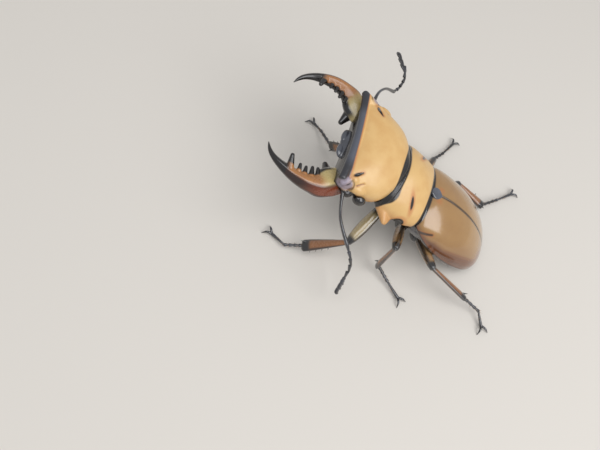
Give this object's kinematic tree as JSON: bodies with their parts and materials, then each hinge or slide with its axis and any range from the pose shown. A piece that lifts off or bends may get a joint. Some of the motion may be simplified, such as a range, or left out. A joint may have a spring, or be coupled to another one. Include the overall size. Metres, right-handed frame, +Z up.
{
  "type": "stag beetle",
  "caption": "Life-size still model of a male mask stag beetle with sickle jaws, standing on its claws; display piece.",
  "frame": {"origin": "on the floor under the middle of the model's box; all six feet stand on the plane Z = 0", "axes": "+Z up, the beetle faces -Y with its tail towards +Y, and its left side is +X"},
  "size_m": [0.0468, 0.0526, 0.023],
  "materials": {
    "ochre_horn": "glossy",
    "tan_horn": "glossy",
    "amber_horn": "glossy",
    "umber_horn": "satin",
    "black_horn": "glossy",
    "eye_black": "glossy"
  },
  "bodies": {
    "root": {"head": "ochre_horn", "labrum": "black_horn", "palp_left": "umber_horn", "palp_right": "umber_horn", "mandible_left": "amber_horn", "mandible_right": "amber_horn", "eye_left": "eye_black", "eye_right": "eye_black", "antenna_scape_left": "black_horn", "antenna_scape_right": "black_horn", "antenna_club_left": "black_horn", "antenna_club_right": "black_horn", "pronotum": "ochre_horn", "scutellum": "black_horn", "elytron_left": "tan_horn", "elytron_right": "tan_horn", "metathorax": "black_horn", "abdomen": "umber_horn", "coxa_fore_left": "black_horn", "coxa_fore_right": "black_horn", "coxa_mid_left": "black_horn", "coxa_mid_right": "black_horn", "coxa_hind_left": "black_horn", "coxa_hind_right": "black_horn", "femur_fore_left": "umber_horn", "femur_fore_right": "umber_horn", "femur_mid_left": "umber_horn", "femur_mid_right": "umber_horn", "femur_hind_left": "umber_horn", "femur_hind_right": "umber_horn", "tibia_fore_left": "umber_horn", "tibia_fore_right": "umber_horn", "tibia_mid_left": "umber_horn", "tibia_mid_right": "umber_horn", "tibia_hind_left": "umber_horn", "tibia_hind_right": "umber_horn", "tarsus_fore_left": "black_horn", "tarsus_fore_right": "black_horn", "tarsus_mid_left": "black_horn", "tarsus_mid_right": "black_horn", "tarsus_hind_left": "black_horn", "tarsus_hind_right": "black_horn"}
  },
  "joints": []
}
